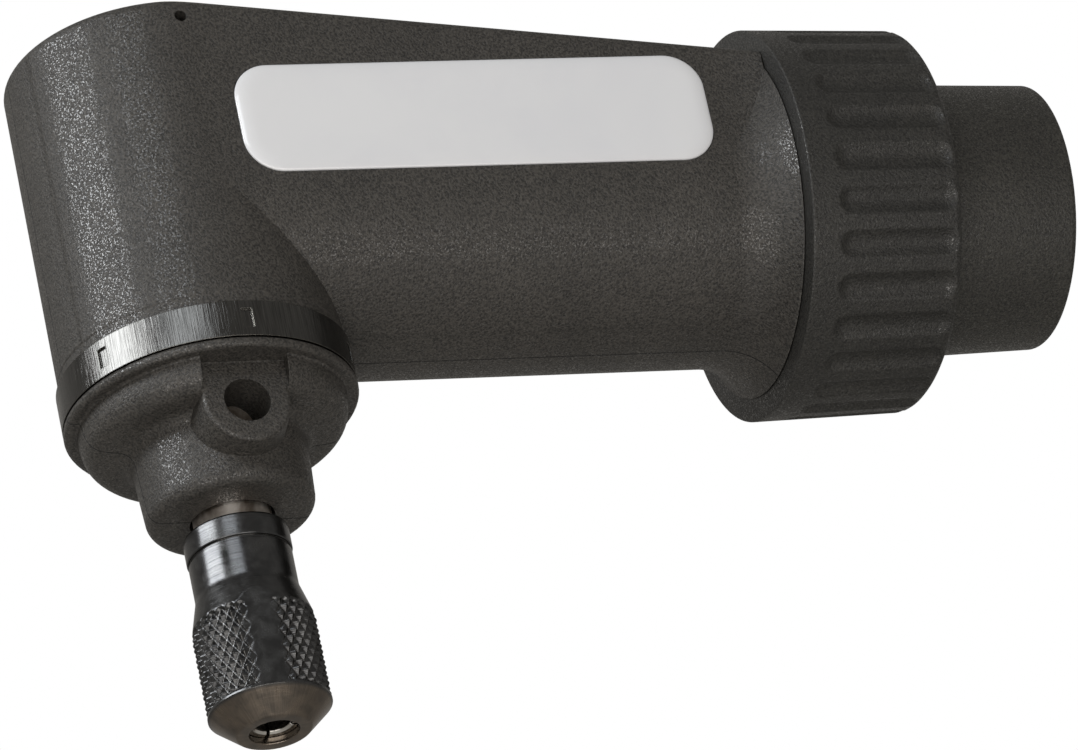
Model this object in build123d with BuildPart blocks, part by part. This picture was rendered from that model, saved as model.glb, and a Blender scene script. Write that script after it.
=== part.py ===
"""Right angle attachment for a small rotary tool.

Millimetres, +Z up. The origin is the centre of the sleeve's mouth. +X runs along the input axis, out of
the sleeve towards the tool. The output axis is parallel to Z and crosses the input axis at output_x.
The badge is on the front, the -Y side, and the casing is parted in the plane y = 0.
"""
from build123d import *
from math import asin, atan, cos, degrees, radians, sin, sqrt, tan
import os

# Lengths along the input axis, from the mouth to the output axis
sleeve_showing = 13.25
ring_length = 14.4
ring_gap = 0.2
barrel_length = 53.65

# Barrel and head of the casing, which share one radius
casing_radius = 12.85
head_height = 17.9
roof_angle = 7.1
roof_bend = 30.0
roof_round = 1.0
flare_length = 4.9
flare_step = 0.6
lip_catch = 0.85
collar_thickness = 1.5
spigot_radius = 8.0
spigot_length = 1.1

# Metal band round the foot of the head
band_top = 13.45
band_height = 3.5
band_step = 0.35
band_thickness = 0.85
band_marks = 6
band_mark_width = 1.0
band_mark_height = 1.85
band_mark_depth = 0.25
band_mark_turn = 32.0

# Nose below the band, with its bulb and the two lock-pin bosses
rim_height = 0.95
rim_round = 0.42
nose_inset = 1.1
nose_draft = 0.4
nose_depth = 2.7
nose_edge_round = 1.9
nose_slope = 0.5
bulb_radius = 7.9
bulb_draft = 0.4
bulb_length = 7.0
bulb_root_round = 1.4
bulb_edge_round = 1.2
boss_radius = 3.95
boss_reach = 10.2
boss_draft = 6.0
boss_edge_round = 0.35
pin_radius = 2.1
pin_drop = 21.7
pin_freedom = 0.3

# Badge on the front, and the blind hole above it
badge_length = 44.0
badge_height = 10.9
badge_start = 3.45
badge_foot = -0.35
badge_corner = 3.4
badge_thickness = 0.95
badge_recess = 0.6
badge_round = 0.4
dimple_radius = 0.55
dimple_depth = 1.4
dimple_drop = 2.0

# Coupling ring and threaded sleeve
ring_radius = 17.82
ring_taper = 0.37
ring_round = 0.7
ring_wall = 1.0
lip_thickness = 2.0
lip_gap = 0.2
flute_count = 28
flute_width = 2.2
flute_depth = 0.5
flute_start = 2.6
sleeve_radius = 12.5
sleeve_draft = 0.37
sleeve_round = 0.5
thread_radius = 9.4
thread_length = 10.0
chamber_radius = 9.0
web_thickness = 2.6
flange_inset = 0.6

# A pair of equal mitre gears
gear_teeth = 16
gear_pitch_radius = 7.0
gear_face = 3.4
gear_bore = 2.5
gear_rim_wall = 0.15
gear_hub_radius = 5.2
gear_nose_radius = 3.4
gear_front = 5.0
gear_back = 10.8
tooth_addendum = 0.8
tooth_dedendum = 1.05
tooth_half_angle = 4.8
pressure_angle = 20.0

# Drive shaft, with its distances from the output axis
shaft_radius = 3.0
shaft_shoulder_radius = 3.9
tang_side = 4.2
tang_round = 0.4
tang_chamfer = 0.3
tang_offset = 3.35
tang_end_gap = 1.0

# Spindle, collet and collet nut, with depths below the input axis. The nut's lengths add up from its top.
spindle_seat_radius = 4.0
spindle_collar_radius = 5.0
spindle_collar_foot = 24.6
spindle_radius = 3.5
spindle_thread_radius = 3.4
spindle_head = 0.5
spindle_shank_hole = 2.0
spindle_shank_top = 26.5
nut_top = 29.65
nut_collar_radius = 4.7
nut_collar_height = 2.2
nut_collar_chamfer = 0.25
groove_width = 0.3
groove_depth = 0.25
nut_waist_radius = 4.6
nut_waist_length = 3.45
nut_cone_length = 3.3
nut_grip_radius = 5.5
nut_grip_length = 7.8
nut_end_length = 2.3
nut_end_radius = 3.3
nut_end_round = 2.0
nut_flats = 10.1
nut_flats_turn = -9.4
collet_bore = 1.6
collet_radius = 2.35
collet_head_radius = 2.9
collet_head_height = 1.4
collet_head_depth = 4.5
collet_nose_radius = 2.25
collet_length = 14.0
collet_inset = 0.2
slit_width = 0.4
slit_length = 9.5
spacer_wall = 0.8

# Ball bearings
drive_bearing_radius = 7.5
drive_bearing_width = 5.0
drive_ball_radius = 1.2
lower_bearing_radius = 8.0
lower_bearing_width = 5.0
lower_ball_radius = 1.1
upper_bearing_radius = 5.5
upper_bearing_width = 4.0
upper_ball_radius = 0.8
ball_count = 7
race_groove_factor = 0.45
cage_thickness_factor = 0.64
cage_width_factor = 2.6
tail_bearing_inset = 7.75
upper_bearing_drop = 7.3
clip_thickness = 0.6
clip_width = 1.0
clip_bite = 0.35

# Casing screws, driven from the rear: distance from the output axis and depth below the head's top
screw_spots = [(-7.3, 4.7), (9.6, 5.7), (32.0, 7.5)]
screw_radius = 1.1
screw_head_radius = 2.1
screw_head_height = 1.6
screw_seat = 6.5
screw_reach = 6.0
screw_slot = 0.5
screw_slot_depth = 0.7

# Inside walls of the casing
gear_chamber_radius = 11.1
gear_chamber_gap = 1.6
barrel_bore = 7.0
bearing_lip = 0.9
shaft_hole = 3.7
shaft_hole_start = 1.2
spindle_head_room = 1.7

# Clearances
seat_gap = 0.02
run_gap = 0.05
face_gap = 0.1
free_gap = 0.3

# Places worked out from the sizes
ring_end = -sleeve_showing
ring_start = ring_end - ring_length
barrel_end = ring_start - ring_gap
output_x = barrel_end - barrel_length
band_radius = casing_radius + band_step
collar_radius = ring_radius - ring_taper - flute_depth - ring_wall
neck_radius = collar_radius - lip_catch
flare_radius = neck_radius + flare_step
collar_start = ring_start + lip_thickness + face_gap
collar_end = collar_start + collar_thickness
sleeve_start = collar_end + face_gap
ring_bore = collar_radius + face_gap
core_radius = band_radius - band_thickness - seat_gap
nose_top = -band_top - band_height
rim_foot = nose_top - rim_height
nose_radius = band_radius - nose_inset
nose_face = rim_foot - nose_depth
bulb_foot = nose_face - nose_slope - bulb_length
dimple_height = head_height - dimple_drop
screw_places = [(output_x + distance, head_height - depth) for distance, depth in screw_spots]
head_bearing_start = gear_chamber_radius
head_bearing_end = head_bearing_start + drive_bearing_width
tail_bearing_start = barrel_length - tail_bearing_inset
tail_bearing_end = tail_bearing_start + drive_bearing_width
tang_start = barrel_length + tang_offset
lower_bearing_foot = -gear_chamber_radius - lower_bearing_width
upper_bearing_foot = head_height - upper_bearing_drop
upper_bearing_top = upper_bearing_foot + upper_bearing_width
nut_waist_top = nut_top + nut_collar_height + groove_width
nut_waist_foot = nut_waist_top + nut_waist_length
nut_grip_top = nut_waist_foot + nut_cone_length
nut_grip_foot = nut_grip_top + nut_grip_length
nut_foot = nut_grip_foot + nut_end_length
collet_foot = nut_foot - collet_inset
collet_top = collet_length - collet_foot
spindle_foot = collet_foot - collet_head_depth
collet_shoulder = -spindle_foot - run_gap
big = 200.0
input_axis = Axis.X
output_axis = Axis((output_x, 0, 0), (0, 0, 1))
output_plane = Plane((output_x, 0, 0))


def turned(points, axis, mode=Mode.ADD):
    """Turn a closed outline, drawn in the plane y = 0, once round an axis."""
    with BuildSketch(Plane.XZ) as outline:
        with BuildLine():
            Polyline(*points, close=True)
        make_face()
    revolve(outline.sketch, axis=axis, mode=mode)


def along_input(*points):
    """Points on the input axis, given as distance from the output axis and radius."""
    return [(output_x + distance, radius) for distance, radius in points]


def along_output(*points):
    """Points on the output axis, given as radius and height."""
    return [(output_x + radius, height) for radius, height in points]


def keep(part, name):
    """Label a finished piece and write it."""
    part.label = name
    export_step(part, f"parts/{name}.step")


os.makedirs("parts", exist_ok=True)

# Casing, outside: a head over the output axis, and a barrel that is round below and flat-sided above,
# under a roof that falls towards the ring
with BuildPart() as body:
    with BuildSketch(output_plane.offset(-band_top)):
        Circle(casing_radius)
    extrude(amount=band_top)
    with BuildSketch(output_plane):
        Circle(casing_radius)
        with Locations((barrel_length / 2, 0)):
            Rectangle(barrel_length, 2 * casing_radius)
    extrude(amount=head_height)
    with BuildSketch(Plane.YZ.offset(output_x)):
        Circle(casing_radius)
        with Locations((0, casing_radius / 2)):
            Rectangle(2 * casing_radius, casing_radius, mode=Mode.SUBTRACT)
    extrude(amount=barrel_length)
    with BuildSketch(Plane.XZ):
        with BuildLine():
            roof = FilletPolyline(
                (output_x - big, head_height),
                (output_x, head_height),
                (output_x + big, head_height - big * tan(radians(roof_angle))),
                radius=roof_bend,
            )
            Polyline(roof @ 1, (output_x + big, big), (output_x - big, big), roof @ 0)
        make_face()
    extrude(amount=big, both=True, mode=Mode.SUBTRACT)
    roof_faces = body.faces().filter_by(lambda face: face.normal_at().Z > 0.9)
    roof_edges = [edge for face in roof_faces for edge in face.edges()]
    rim_edges = [
        edge for edge in roof_edges
        if len([other for other in roof_edges if other.is_same(edge)]) == 1
        and edge.center().X < barrel_end - flare_length
    ]
    fillet(rim_edges, roof_round)

# Casing, whole: the body with its flare, neck, collar, nose and bosses, hollowed for what it carries
with BuildPart() as casing:
    add(body.part)
    flare_start = barrel_end - flare_length
    with BuildSketch(Plane.XZ):
        with BuildLine():
            flare = TangentArc((flare_start, casing_radius), (barrel_end, flare_radius), tangent=(1, 0))
            Polyline(flare @ 1, (barrel_end, 0), (flare_start, 0), flare @ 0)
        make_face()
    revolve(axis=input_axis)
    turned([(barrel_end, 0), (barrel_end, neck_radius), (collar_start, neck_radius),
            (collar_start, collar_radius), (collar_end, collar_radius), (collar_end, spigot_radius),
            (collar_end + spigot_length, spigot_radius), (collar_end + spigot_length, 0)], input_axis)
    with BuildSketch(Plane.XZ):
        with BuildLine():
            nose = FilletPolyline(
                *along_output((core_radius, nose_top), (band_radius, nose_top), (band_radius, rim_foot),
                              (nose_radius, rim_foot), (nose_radius - nose_draft, nose_face),
                              (bulb_radius, nose_face - nose_slope),
                              (bulb_radius - bulb_draft, bulb_foot), (0, bulb_foot)),
                radius=[rim_round, rim_round, rim_round / 2, nose_edge_round, bulb_root_round,
                        bulb_edge_round],
            )
            Polyline(nose @ 1, (output_x, -band_top), (output_x + core_radius, -band_top), nose @ 0)
        make_face()
    revolve(axis=output_axis)
    notch_height = pin_drop + rim_foot
    for side in (1, -1):
        with BuildSketch(Plane.XZ.offset(side * boss_reach)):
            with Locations((output_x, rim_foot - notch_height / 2)):
                Rectangle(2 * boss_radius, notch_height)
        extrude(amount=side * boss_reach, mode=Mode.SUBTRACT)
    boss_root_radius = boss_radius + boss_reach * tan(radians(boss_draft))
    with BuildSketch(Plane((output_x, 0, -pin_drop))):
        with BuildLine():
            boss = FilletPolyline((0, -boss_reach), (boss_radius, -boss_reach), (boss_root_radius, 0),
                                  (boss_radius, boss_reach), (0, boss_reach), radius=boss_edge_round)
            Line(boss @ 1, boss @ 0)
        make_face()
    revolve(axis=Axis((output_x, 0, -pin_drop), (0, 1, 0)))
    # Lock-pin hole, straight through both bosses
    with BuildSketch(Plane.XZ):
        with Locations((output_x, -pin_drop)):
            Circle(pin_radius)
    extrude(amount=big, both=True, mode=Mode.SUBTRACT)
    # Gear chamber, bearing seats and spindle passage on the output axis
    seat = lower_bearing_radius + seat_gap
    upper_seat = upper_bearing_radius + seat_gap
    passage = spindle_radius + free_gap
    collar_room = spindle_collar_radius + free_gap
    collar_floor = -spindle_collar_foot - free_gap
    seat_floor = lower_bearing_foot - free_gap
    head_room = upper_bearing_top + spindle_head_room
    chamber_top = upper_bearing_foot - gear_chamber_gap
    turned(along_output((0, bulb_foot - 1), (passage, bulb_foot - 1), (passage, collar_floor),
                        (collar_room, collar_floor), (collar_room, seat_floor),
                        (seat - bearing_lip, seat_floor), (seat - bearing_lip, lower_bearing_foot),
                        (seat, lower_bearing_foot), (seat, -gear_chamber_radius),
                        (gear_chamber_radius, -gear_chamber_radius), (gear_chamber_radius, chamber_top),
                        (upper_seat - bearing_lip, chamber_top), (upper_seat - bearing_lip, upper_bearing_foot),
                        (upper_seat, upper_bearing_foot), (upper_seat, upper_bearing_top),
                        (upper_seat - bearing_lip, upper_bearing_top), (upper_seat - bearing_lip, head_room),
                        (0, head_room)), output_axis, Mode.SUBTRACT)
    # Bearing seats and bore on the input axis
    seat = drive_bearing_radius + seat_gap
    shaft_hole_from = tail_bearing_end + shaft_hole_start
    turned(along_input((0, 0), (0, seat - bearing_lip), (head_bearing_start, seat - bearing_lip),
                       (head_bearing_start, seat), (head_bearing_end, seat), (head_bearing_end, barrel_bore),
                       (tail_bearing_start, barrel_bore), (tail_bearing_start, seat),
                       (tail_bearing_end, seat), (tail_bearing_end, seat - bearing_lip),
                       (shaft_hole_from, seat - bearing_lip), (shaft_hole_from, shaft_hole),
                       (barrel_length + big, shaft_hole), (barrel_length + big, 0)),
           input_axis, Mode.SUBTRACT)

badge_centre = (output_x + badge_start + badge_length / 2, badge_foot + badge_height / 2)
badge_floor = Plane.XZ.offset(casing_radius - badge_recess)

# Front half of the casing, with the badge's recess, the blind hole and the screws' pilot holes
with BuildPart() as housing_front:
    add(casing.part)
    split(bisect_by=Plane.XZ, keep=Keep.TOP)
    with BuildSketch(badge_floor):
        with Locations(badge_centre):
            RectangleRounded(badge_length + 2 * run_gap, badge_height + 2 * run_gap, badge_corner)
    extrude(amount=badge_recess + face_gap, mode=Mode.SUBTRACT)
    with BuildSketch(Plane.XZ.offset(casing_radius - dimple_depth)):
        with Locations((output_x, dimple_height)):
            Circle(dimple_radius)
    extrude(amount=big, mode=Mode.SUBTRACT)
    with BuildSketch(Plane.XZ):
        with Locations(*screw_places):
            Circle(screw_radius + seat_gap)
    extrude(amount=screw_reach + free_gap, mode=Mode.SUBTRACT)
keep(housing_front.part, "housing_front")

# Rear half of the casing, with the screws' clearance holes and counterbores
with BuildPart() as housing_rear:
    add(casing.part)
    split(bisect_by=Plane.XZ, keep=Keep.BOTTOM)
    with BuildSketch(Plane.XZ):
        with Locations(*screw_places):
            Circle(screw_radius + face_gap)
    extrude(amount=-screw_seat, mode=Mode.SUBTRACT)
    with BuildSketch(Plane.XZ.offset(-screw_seat)):
        with Locations(*screw_places):
            Circle(screw_head_radius + face_gap)
    extrude(amount=-big, mode=Mode.SUBTRACT)
keep(housing_rear.part, "housing_rear")

# Casing screws with a cross recess
with BuildPart() as casing_screws:
    with BuildSketch(Plane.XZ.offset(-screw_seat)):
        with Locations(*screw_places):
            Circle(screw_head_radius)
    extrude(amount=-screw_head_height)
    with BuildSketch(Plane.XZ.offset(-screw_seat)):
        with Locations(*screw_places):
            Circle(screw_radius)
    extrude(amount=screw_seat + screw_reach)
    with BuildSketch(Plane.XZ.offset(-screw_seat - screw_head_height)):
        with Locations(*screw_places):
            Rectangle(1.4 * screw_head_radius, screw_slot)
            Rectangle(screw_slot, 1.4 * screw_head_radius)
    extrude(amount=screw_slot_depth, mode=Mode.SUBTRACT)
keep(casing_screws.part, "casing_screws")

# Badge: a plain domed plate
with BuildPart() as badge:
    with BuildSketch(badge_floor):
        with Locations(badge_centre):
            RectangleRounded(badge_length, badge_height, badge_corner)
    extrude(amount=badge_thickness)
    fillet(badge.faces().sort_by(Axis.Y)[0].edges(), badge_round)
keep(badge.part, "badge")

# Metal band with its small punched marks
with BuildPart() as nose_band:
    turned(along_output((band_radius - band_thickness, nose_top), (band_radius, nose_top),
                        (band_radius, -band_top), (band_radius - band_thickness, -band_top)), output_axis)
    mark_planes = [
        Plane(
            origin=(output_x + band_radius * cos(radians(angle)), band_radius * sin(radians(angle)),
                    -band_top - band_height / 2),
            x_dir=(-sin(radians(angle)), cos(radians(angle)), 0),
            z_dir=(cos(radians(angle)), sin(radians(angle)), 0),
        )
        for angle in [band_mark_turn + 360 * mark / band_marks for mark in range(band_marks)]
    ]
    with BuildSketch(*mark_planes):
        Rectangle(band_mark_width, band_mark_height)
    extrude(amount=band_mark_depth, both=True, mode=Mode.SUBTRACT)
keep(nose_band.part, "nose_band")

# Coupling ring: an inward lip behind which the casing's collar sits, and long flutes outside
flute_ball = (flute_width ** 2 / 4 + flute_depth ** 2) / (2 * flute_depth)
flute_angle = degrees(atan(ring_taper / ring_length))
flute_x = ring_start + flute_start + flute_width / 2
with BuildPart() as coupling_ring:
    turned([(ring_start, neck_radius + lip_gap), (ring_start, ring_radius),
            (ring_end, ring_radius - ring_taper), (ring_end, ring_bore),
            (ring_start + lip_thickness, ring_bore), (ring_start + lip_thickness, neck_radius + lip_gap)],
           input_axis)
    outer_edges = coupling_ring.edges().filter_by(GeomType.CIRCLE)
    fillet([edge for edge in outer_edges if edge.center().X > ring_end - 0.01 and edge.radius > ring_bore + 1],
           ring_round)
    fillet([edge for edge in coupling_ring.edges().filter_by(GeomType.CIRCLE)
            if edge.center().X < ring_start + 0.01 and edge.radius > ring_bore + 1], ring_round / 2)
    flute_planes = [
        Plane(
            origin=(flute_x, 0, 0),
            x_dir=(1, 0, 0),
            z_dir=(0, cos(radians(angle)), sin(radians(angle))),
        )
        for angle in [360 * flute / flute_count for flute in range(flute_count)]
    ]
    flute_height = ring_radius - ring_taper * flute_start / ring_length + flute_ball - flute_depth
    for plane in flute_planes:
        start = plane.offset(flute_height)
        with Locations(start.location):
            Sphere(flute_ball, mode=Mode.SUBTRACT)
            Cylinder(flute_ball, ring_length, rotation=(0, 90 + flute_angle, 0),
                     align=(Align.CENTER, Align.CENTER, Align.MIN), mode=Mode.SUBTRACT)
keep(coupling_ring.part, "coupling_ring")

# Threaded sleeve that screws on the tool, with the flange that the coupling ring runs on
with BuildPart() as threaded_sleeve:
    flange_radius = ring_bore - run_gap
    flange_end = ring_end - flange_inset
    turned([(sleeve_start, shaft_hole), (sleeve_start, flange_radius), (flange_end, flange_radius),
            (flange_end, sleeve_radius), (ring_end, sleeve_radius), (0, sleeve_radius - sleeve_draft),
            (0, thread_radius), (-thread_length, thread_radius), (-thread_length, chamber_radius),
            (sleeve_start + web_thickness, chamber_radius), (sleeve_start + web_thickness, shaft_hole)],
           input_axis)
    turned([(sleeve_start, 0), (sleeve_start, spigot_radius + run_gap),
            (sleeve_start + spigot_length, spigot_radius + run_gap), (sleeve_start + spigot_length, 0)],
           input_axis, Mode.SUBTRACT)
    mouth_edges = threaded_sleeve.edges().filter_by(GeomType.CIRCLE)
    fillet([edge for edge in mouth_edges if edge.center().X > -0.01 and edge.radius > thread_radius + 1], sleeve_round)
keep(threaded_sleeve.part, "threaded_sleeve")


def mitre_gear(plane, phase):
    """A straight mitre gear whose teeth point at the plane's origin. phase is in tooth pitches."""
    cone = gear_pitch_radius * sqrt(2)
    tip_slope = tan(radians(45) + atan(tooth_addendum / cone))
    root_slope = tan(radians(45) - atan(tooth_dedendum / cone))
    flank = tan(radians(pressure_angle))
    pitch_half = gear_pitch_radius * sin(radians(tooth_half_angle))
    tip_half = (pitch_half - flank * tooth_addendum) / (gear_pitch_radius + tooth_addendum / sqrt(2))
    root_half = (pitch_half + flank * tooth_dedendum) / (gear_pitch_radius - tooth_dedendum / sqrt(2))
    outline = []
    for tooth in range(gear_teeth):
        middle = 2 * 180 * (tooth + phase) / gear_teeth
        outline.append((root_slope, middle - degrees(asin(root_half))))
        outline.append((tip_slope, middle - degrees(asin(tip_half))))
        outline.append((tip_slope, middle + degrees(asin(tip_half))))
        outline.append((root_slope, middle + degrees(asin(root_half))))
    front_sum = 2 * gear_pitch_radius - gear_face * sqrt(2)
    back_sum = 2 * gear_pitch_radius
    rim_back = gear_pitch_radius + tooth_dedendum + gear_rim_wall
    with BuildPart() as gear:
        for distance in (front_sum / 2 - tooth_addendum, rim_back):
            with BuildSketch(plane.offset(distance)):
                with BuildLine():
                    Polyline(*[(distance * slope * cos(radians(angle)), distance * slope * sin(radians(angle)))
                               for slope, angle in outline], close=True)
                make_face()
        loft(ruled=True)
        side = Plane(origin=plane.origin, x_dir=plane.x_dir, z_dir=-plane.y_dir)
        with BuildSketch(side):
            with BuildLine():
                Polyline((0, front_sum), (front_sum, 0), (back_sum, 0), (0, back_sum), close=True)
            make_face()
        revolve(axis=Axis(plane.origin, plane.z_dir), mode=Mode.INTERSECT)
        with BuildSketch(plane.offset(gear_front)):
            Circle(gear_nose_radius)
        extrude(amount=gear_back - gear_front)
        with BuildSketch(plane.offset(gear_pitch_radius + tooth_dedendum / 2)):
            Circle(gear_hub_radius)
        extrude(amount=gear_back - gear_pitch_radius - tooth_dedendum / 2)
        with BuildSketch(plane):
            Circle(gear_bore + seat_gap)
        extrude(amount=big, mode=Mode.SUBTRACT)
    return gear.part


pinion_plane = Plane(origin=(output_x, 0, 0), x_dir=(0, 0, -1), z_dir=(1, 0, 0))
crown_plane = Plane(origin=(output_x, 0, 0), x_dir=(1, 0, 0), z_dir=(0, 0, -1))
keep(mitre_gear(pinion_plane, 0), "drive_gear")
keep(mitre_gear(crown_plane, 0.5), "spindle_gear")

# Drive shaft: gear seat, shoulder between the bearings, and the square tang that the tool turns
clip_start = tail_bearing_end + run_gap
with BuildPart() as drive_shaft:
    clip_end = clip_start + clip_thickness + run_gap
    turned(along_input((gear_front - face_gap, 0), (gear_front - face_gap, gear_bore),
                       (gear_back + run_gap, gear_bore), (gear_back + run_gap, shaft_radius - seat_gap),
                       (head_bearing_end + run_gap, shaft_radius - seat_gap),
                       (head_bearing_end + run_gap, shaft_shoulder_radius),
                       (tail_bearing_start - run_gap, shaft_shoulder_radius),
                       (tail_bearing_start - run_gap, shaft_radius - seat_gap),
                       (clip_start, shaft_radius - seat_gap), (clip_start, shaft_radius - clip_bite),
                       (clip_end, shaft_radius - clip_bite), (clip_end, shaft_radius - seat_gap),
                       (tang_start, shaft_radius - seat_gap), (tang_start, 0)), input_axis)
    with BuildSketch(Plane.YZ.offset(output_x + tang_start)):
        RectangleRounded(tang_side, tang_side, tang_round)
    extrude(amount=-thread_length - tang_end_gap - output_x - tang_start)
    chamfer(drive_shaft.faces().sort_by(Axis.X)[-1].edges(), tang_chamfer)
keep(drive_shaft.part, "drive_shaft")


def retaining_clip(plane, radius):
    """An open ring in a shaft's groove, with its gap along the plane's x axis."""
    with BuildPart() as clip:
        with BuildSketch(plane):
            Circle(radius + clip_width)
            Circle(radius - clip_bite + seat_gap, mode=Mode.SUBTRACT)
            with Locations((radius, 0)):
                Rectangle(2 * clip_width + radius / 2, radius * 0.9, mode=Mode.SUBTRACT)
        extrude(amount=clip_thickness)
    return clip.part


keep(retaining_clip(Plane.YZ.offset(output_x + clip_start + run_gap / 2), shaft_radius), "drive_shaft_clip")

# Spindle: gear and bearing seats, cross-drilled collar for the lock pin, and threaded foot
with BuildPart() as spindle:
    thin = gear_bore - seat_gap
    clip_foot = upper_bearing_top + run_gap
    clip_head = clip_foot + clip_thickness + run_gap
    turned(along_output((0, clip_head + spindle_head), (thin, clip_head + spindle_head), (thin, clip_head),
                        (thin - clip_bite, clip_head), (thin - clip_bite, clip_foot), (thin, clip_foot),
                        (thin, -gear_back - run_gap), (spindle_seat_radius - seat_gap, -gear_back - run_gap),
                        (spindle_seat_radius - seat_gap, lower_bearing_foot - run_gap),
                        (spindle_collar_radius, lower_bearing_foot - run_gap),
                        (spindle_collar_radius, -spindle_collar_foot), (spindle_radius, -spindle_collar_foot),
                        (spindle_radius, -nut_top + run_gap), (spindle_thread_radius, -nut_top + run_gap),
                        (spindle_thread_radius, -spindle_foot), (0, -spindle_foot)), output_axis)
    turned(along_output((0, -spindle_foot - 1), (collet_radius + run_gap, -spindle_foot - 1),
                        (collet_radius + run_gap, collet_top + free_gap),
                        (spindle_shank_hole, collet_top + free_gap),
                        (spindle_shank_hole, -spindle_shank_top), (0, -spindle_shank_top)),
           output_axis, Mode.SUBTRACT)
    with BuildSketch(Plane.XZ):
        with Locations((output_x, -pin_drop)):
            Circle(pin_radius + pin_freedom)
    extrude(amount=spindle_collar_radius + 1, both=True, mode=Mode.SUBTRACT)
keep(spindle.part, "spindle")
keep(retaining_clip(output_plane.offset(upper_bearing_top + 1.5 * run_gap), gear_bore), "spindle_clip")

# Spacer between the spindle gear and the upper bearing
with BuildPart() as spindle_spacer:
    turned(along_output((gear_bore + seat_gap, -gear_front), (gear_bore + spacer_wall, -gear_front),
                        (gear_bore + spacer_wall, upper_bearing_foot),
                        (gear_bore + seat_gap, upper_bearing_foot)),
           output_axis)
keep(spindle_spacer.part, "spindle_spacer")

# Split collet
with BuildPart() as collet:
    turned(along_output((collet_bore, collet_top), (collet_radius, collet_top),
                        (collet_radius, collet_shoulder), (collet_head_radius, collet_shoulder),
                        (collet_head_radius, collet_shoulder - collet_head_height),
                        (collet_nose_radius, -collet_foot), (collet_bore, -collet_foot)), output_axis)
    with BuildSketch(output_plane.offset(-collet_foot)):
        Rectangle(4 * collet_radius, slit_width)
        Rectangle(slit_width, 4 * collet_radius)
    extrude(amount=slit_length, mode=Mode.SUBTRACT)
keep(collet.part, "collet")

# Collet nut: grooved collar, waist, cone and a round grip with two flats
with BuildPart() as collet_nut:
    groove_top = nut_top + nut_collar_height
    groove_radius = nut_collar_radius - groove_depth
    wedge_slope = (collet_head_radius - collet_nose_radius) / (
        collet_foot + collet_shoulder - collet_head_height)
    wedge_top = collet_shoulder - collet_head_height
    mouth_radius = collet_nose_radius + 2 * run_gap - wedge_slope * (nut_foot - collet_foot)
    with BuildSketch(Plane.XZ):
        with BuildLine():
            outer = Polyline(*along_output(
                (spindle_thread_radius + run_gap, -nut_top), (nut_collar_radius - nut_collar_chamfer, -nut_top),
                (nut_collar_radius, -nut_top - nut_collar_chamfer), (nut_collar_radius, -groove_top),
                (groove_radius, -groove_top), (groove_radius, -nut_waist_top),
                (nut_waist_radius, -nut_waist_top), (nut_waist_radius, -nut_waist_foot),
                (nut_grip_radius, -nut_grip_top)))
            end = FilletPolyline(
                outer @ 1,
                *along_output((nut_grip_radius, -nut_grip_foot), (nut_end_radius, -nut_foot)),
                radius=nut_end_round,
            )
            Polyline(end @ 1, *along_output(
                (mouth_radius, -nut_foot), (collet_head_radius + 2 * run_gap, wedge_top),
                (collet_head_radius + 2 * run_gap, collet_shoulder - face_gap),
                (spindle_thread_radius + run_gap, collet_shoulder - face_gap)), outer @ 0)
        make_face()
    revolve(axis=output_axis)
    flats_plane = Plane(origin=(output_x, 0, -nut_foot), z_dir=(0, 0, 1)).rotated((0, 0, nut_flats_turn))
    with BuildSketch(flats_plane):
        Circle(2 * nut_grip_radius)
        Rectangle(4 * nut_grip_radius, nut_flats, mode=Mode.SUBTRACT)
    extrude(amount=nut_foot - nut_waist_foot, mode=Mode.SUBTRACT)
keep(collet_nut.part, "collet_nut")


def ball_bearing(plane, bore, outer, width, ball, name):
    """A deep-groove bearing on the plane's axis: two races, balls, and the cage that spaces them."""
    pitch = (bore + outer) / 2
    land = race_groove_factor * ball
    axis = Axis(plane.origin, plane.z_dir)
    side = Plane(origin=plane.origin, x_dir=plane.x_dir, z_dir=-plane.y_dir)
    for piece, low, high in (("inner_race", bore, pitch - land), ("outer_race", pitch + land, outer)):
        with BuildPart() as race:
            with BuildSketch(side):
                with Locations(((low + high) / 2, width / 2)):
                    Rectangle(high - low, width)
                with Locations((pitch, width / 2)):
                    Circle(ball + run_gap, mode=Mode.SUBTRACT)
            revolve(axis=axis)
        keep(race.part, f"{name}_{piece}")
    with BuildPart() as balls:
        with Locations(plane.offset(width / 2).location):
            with PolarLocations(pitch, ball_count):
                Sphere(ball)
    keep(balls.part, f"{name}_balls")
    with BuildPart() as cage:
        with BuildSketch(side):
            with Locations((pitch, width / 2)):
                Rectangle(cage_thickness_factor * ball, cage_width_factor * ball)
        revolve(axis=axis)
        with Locations(plane.offset(width / 2).location):
            with PolarLocations(pitch, ball_count):
                Cylinder(ball + run_gap, 2 * ball, rotation=(0, 90, 0), mode=Mode.SUBTRACT)
    keep(cage.part, f"{name}_cage")


for name, start in (("head_bearing", head_bearing_start), ("tail_bearing", tail_bearing_start)):
    ball_bearing(Plane.YZ.offset(output_x + start), shaft_radius, drive_bearing_radius, drive_bearing_width,
                 drive_ball_radius, name)
ball_bearing(output_plane.offset(lower_bearing_foot), spindle_seat_radius, lower_bearing_radius,
             lower_bearing_width, lower_ball_radius, "lower_bearing")
ball_bearing(output_plane.offset(upper_bearing_foot), gear_bore, upper_bearing_radius, upper_bearing_width,
             upper_ball_radius, "upper_bearing")
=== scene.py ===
"""Right angle attachment for a rotary tool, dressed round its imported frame.

Metres, +Z up. The origin is the centre of the threaded sleeve's mouth, and +X points out of it.
The output axis is vertical and crosses the input axis at OUTPUT_X. The badge is on the front, the -Y side.
"""
from math import acos, cos, pi, radians, sin, tan

import bmesh
import bpy
from mathutils import Matrix, Vector


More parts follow.
